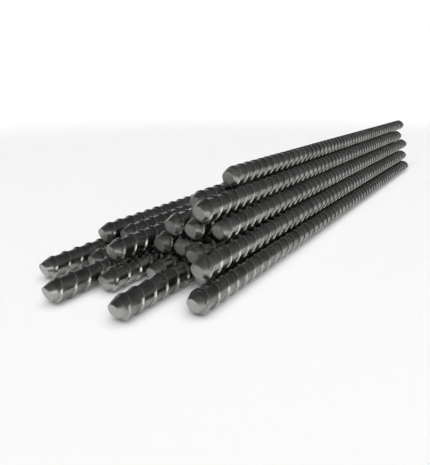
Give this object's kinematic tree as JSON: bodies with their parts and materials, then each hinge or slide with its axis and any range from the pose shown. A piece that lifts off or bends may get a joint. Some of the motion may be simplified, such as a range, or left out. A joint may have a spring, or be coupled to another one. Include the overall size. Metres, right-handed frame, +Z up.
{
  "type": "rebar bundle",
  "caption": "Loose heap of parallel ribbed steel reinforcing bars of one size, nested in rows on the floor, with staggered tapered ends.",
  "frame": {"origin": "on the floor, under the middle of the box that holds the heap", "axes": "+Y along the bars, from the near ends to the far ends; +Z up; the straight side of the heap faces +X"},
  "size_m": [0.2332, 1.228, 0.13],
  "materials": {
    "bar_steel": "hot-rolled steel with a dark satin mill skin, and paler sheared end faces"
  },
  "bodies": {
    "root": {"floor_row": "bar_steel", "second_row": "bar_steel", "third_row": "bar_steel", "fourth_row": "bar_steel", "top_bar": "bar_steel"}
  },
  "joints": []
}
